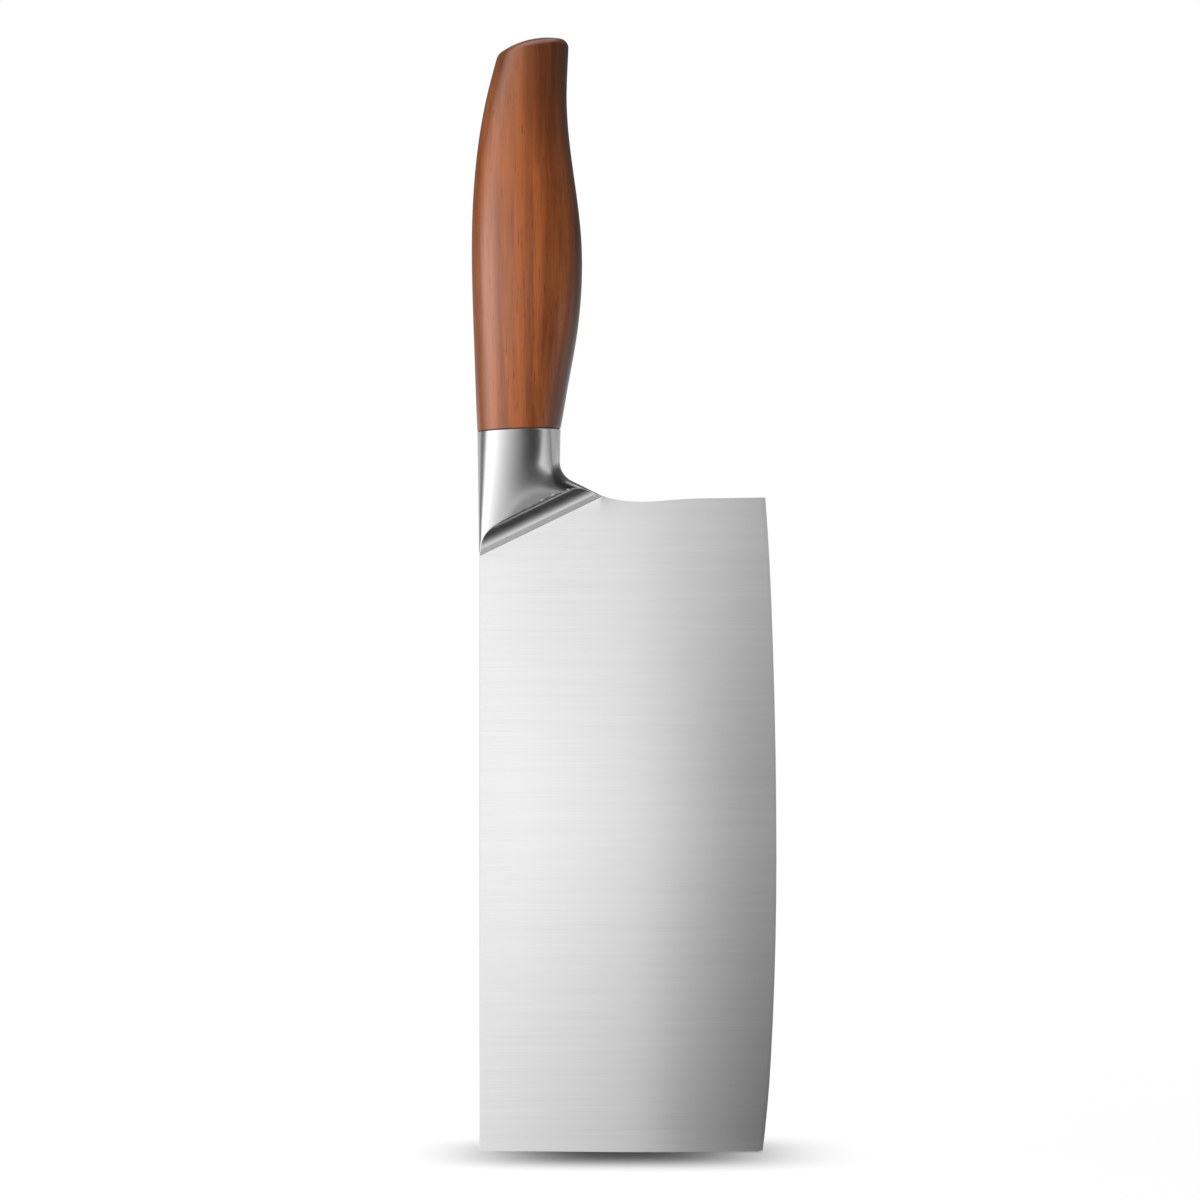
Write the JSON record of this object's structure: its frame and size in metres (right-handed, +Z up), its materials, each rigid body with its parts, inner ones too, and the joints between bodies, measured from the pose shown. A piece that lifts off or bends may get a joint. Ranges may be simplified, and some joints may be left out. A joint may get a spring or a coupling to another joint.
{
  "type": "chinese cleaver",
  "caption": "Chinese slicing cleaver: tall thin steel blade with a gently curved edge, steel bolster with a slanted coved shoulder, and a one-piece wooden handle with a palm swell.",
  "frame": {"origin": "under the middle of the whole knife, level with the lowest point of the blade's front end", "axes": "+Z up the knife from the blade's front end to the butt of the handle, +X from the spine to the cutting edge, Y through the blade's thickness"},
  "size_m": [0.082, 0.0236, 0.3],
  "materials": {
    "blade_steel": "fine brushing across the blade, from spine to edge",
    "bolster_steel": "satin polish",
    "tang_steel": "as drawn",
    "adhesive": "cured dark epoxy",
    "handle_wood": "reddish brown, satin lacquer, grain along the handle"
  },
  "bodies": {
    "root": {"blade": "blade_steel", "bolster_weld": "blade_steel", "bolster": "bolster_steel", "tang": "tang_steel", "handle_adhesive": "adhesive", "handle": "handle_wood"}
  },
  "joints": []
}
